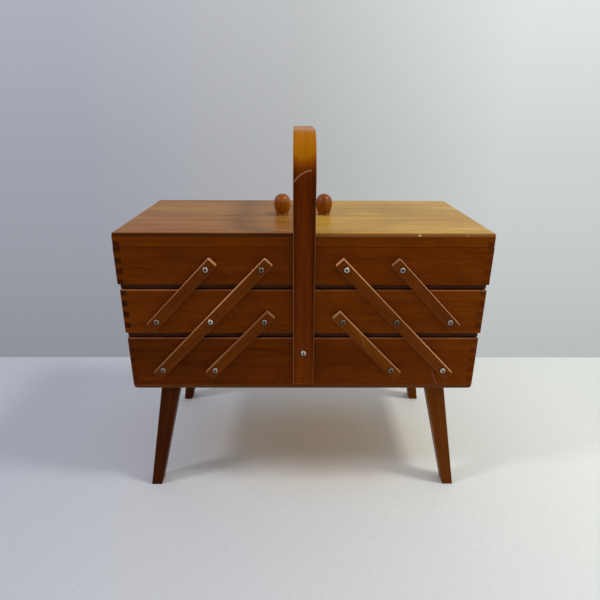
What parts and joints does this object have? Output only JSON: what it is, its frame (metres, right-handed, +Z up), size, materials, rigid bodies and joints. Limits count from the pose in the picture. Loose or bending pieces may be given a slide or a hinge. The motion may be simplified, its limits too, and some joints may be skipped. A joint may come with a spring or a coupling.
{
  "type": "cantilever sewing carrier with two lids",
  "caption": "Wooden sewing carrier on splayed legs: trays that fold out on crossed arms, hinged lids with turned knobs and a bent carrying handle.",
  "frame": {"origin": "on the floor, under the middle of the base box", "axes": "+X to the right and -Y to the front as the picture shows it, +Z up"},
  "size_m": [0.4372, 0.227, 0.448],
  "materials": {
    "box_wood": "orange-brown stained hardwood boards under satin gloss varnish",
    "lid_panel": "lighter stained veneered panel under worn satin varnish",
    "bottom_panel": "stained plywood panel, satin varnish",
    "arm_wood": "stained hardwood bars, satin varnish, pale worn edges",
    "bent_handle": "steam-bent stained hardwood strap, glossy varnish",
    "leg_wood": "tapered stained hardwood, satin varnish",
    "turned_knob": "turned stained hardwood under glossy varnish",
    "nickel": "nickel-plated steel screws, slightly dulled",
    "brass": "small brass butt hinges, dulled"
  },
  "bodies": {
    "base": {"base_front": "box_wood", "base_rear": "box_wood", "base_left": "box_wood", "base_right": "box_wood", "base_bottom": "bottom_panel", "leg_front_left": "leg_wood", "leg_front_right": "leg_wood", "leg_rear_left": "leg_wood", "leg_rear_right": "leg_wood", "leg_screws": "nickel", "base_pivot_screws": "nickel", "handle_screws": "nickel"},
    "handle": {"handle": "bent_handle"},
    "left_long_arms": {"left_long_arm_front": "arm_wood", "left_long_arm_rear": "arm_wood"},
    "left_lower_arms": {"left_lower_arm_front": "arm_wood", "left_lower_arm_rear": "arm_wood"},
    "left_upper_arms": {"left_upper_arm_front": "arm_wood", "left_upper_arm_rear": "arm_wood"},
    "left_mid_tray": {"left_mid_front": "box_wood", "left_mid_rear": "box_wood", "left_mid_outer": "box_wood", "left_mid_inner": "box_wood", "left_mid_bottom": "bottom_panel", "left_mid_screws": "nickel"},
    "left_top_tray": {"left_top_front": "box_wood", "left_top_rear": "box_wood", "left_top_outer": "box_wood", "left_top_inner": "box_wood", "left_top_bottom": "bottom_panel", "left_top_screws": "nickel", "left_hinge_fixed": "brass"},
    "left_lid": {"left_lid_rim": "box_wood", "left_lid_panel": "lid_panel", "left_knob": "turned_knob", "left_hinge_moving": "brass"},
    "right_long_arms": {"right_long_arm_front": "arm_wood", "right_long_arm_rear": "arm_wood"},
    "right_lower_arms": {"right_lower_arm_front": "arm_wood", "right_lower_arm_rear": "arm_wood"},
    "right_upper_arms": {"right_upper_arm_front": "arm_wood", "right_upper_arm_rear": "arm_wood"},
    "right_mid_tray": {"right_mid_front": "box_wood", "right_mid_rear": "box_wood", "right_mid_outer": "box_wood", "right_mid_inner": "box_wood", "right_mid_bottom": "bottom_panel", "right_mid_screws": "nickel"},
    "right_top_tray": {"right_top_front": "box_wood", "right_top_rear": "box_wood", "right_top_outer": "box_wood", "right_top_inner": "box_wood", "right_top_bottom": "bottom_panel", "right_top_screws": "nickel", "right_hinge_fixed": "brass"},
    "right_lid": {"right_lid_rim": "box_wood", "right_lid_panel": "lid_panel", "right_knob": "turned_knob", "right_hinge_moving": "brass"}
  },
  "joints": [
    {"name": "handle_swing", "type": "hinge", "parent": "base", "child": "handle", "pos_m": [0, 0, 0.1956], "axis": [0, 1, 0], "range_deg": [-11.5, 11.5]},
    {"name": "left_open", "type": "hinge", "parent": "base", "child": "left_long_arms", "pos_m": [-0.17, 0, 0.1725], "axis": [0, -1, 0], "range_deg": [0, 87]},
    {"name": "left_mid_level", "type": "hinge", "parent": "left_long_arms", "child": "left_mid_tray", "pos_m": [-0.109, 0, 0.2365], "axis": [0, -1, 0], "range_deg": [-87, 0]},
    {"name": "left_top_level", "type": "hinge", "parent": "left_long_arms", "child": "left_top_tray", "pos_m": [-0.048, 0, 0.3005], "axis": [0, -1, 0], "range_deg": [-87, 0]},
    {"name": "left_lower_swing", "type": "hinge", "parent": "base", "child": "left_lower_arms", "pos_m": [-0.107, 0, 0.1725], "axis": [0, -1, 0], "range_deg": [0, 87]},
    {"name": "left_upper_swing", "type": "hinge", "parent": "left_mid_tray", "child": "left_upper_arms", "pos_m": [-0.172, 0, 0.2365], "axis": [0, -1, 0], "range_deg": [0, 87]},
    {"name": "left_lid_hinge", "type": "hinge", "parent": "left_top_tray", "child": "left_lid", "pos_m": [-0.2164, 0, 0.32515], "axis": [0, -1, 0], "range_deg": [0, 180]},
    {"name": "right_open", "type": "hinge", "parent": "base", "child": "right_long_arms", "pos_m": [0.17, 0, 0.1725], "axis": [0, 1, 0], "range_deg": [0, 87]},
    {"name": "right_mid_level", "type": "hinge", "parent": "right_long_arms", "child": "right_mid_tray", "pos_m": [0.109, 0, 0.2365], "axis": [0, 1, 0], "range_deg": [-87, 0]},
    {"name": "right_top_level", "type": "hinge", "parent": "right_long_arms", "child": "right_top_tray", "pos_m": [0.048, 0, 0.3005], "axis": [0, 1, 0], "range_deg": [-87, 0]},
    {"name": "right_lower_swing", "type": "hinge", "parent": "base", "child": "right_lower_arms", "pos_m": [0.107, 0, 0.1725], "axis": [0, 1, 0], "range_deg": [0, 87]},
    {"name": "right_upper_swing", "type": "hinge", "parent": "right_mid_tray", "child": "right_upper_arms", "pos_m": [0.172, 0, 0.2365], "axis": [0, 1, 0], "range_deg": [0, 87]},
    {"name": "right_lid_hinge", "type": "hinge", "parent": "right_top_tray", "child": "right_lid", "pos_m": [0.2164, 0, 0.32515], "axis": [0, 1, 0], "range_deg": [0, 180]}
  ],
  "couplings": [
    {"joint": "left_mid_level", "follows": "left_open", "ratio": -1},
    {"joint": "left_top_level", "follows": "left_open", "ratio": -1},
    {"joint": "left_lower_swing", "follows": "left_open", "ratio": 1},
    {"joint": "left_upper_swing", "follows": "left_open", "ratio": 1},
    {"joint": "right_mid_level", "follows": "right_open", "ratio": -1},
    {"joint": "right_top_level", "follows": "right_open", "ratio": -1},
    {"joint": "right_lower_swing", "follows": "right_open", "ratio": 1},
    {"joint": "right_upper_swing", "follows": "right_open", "ratio": 1}
  ]
}
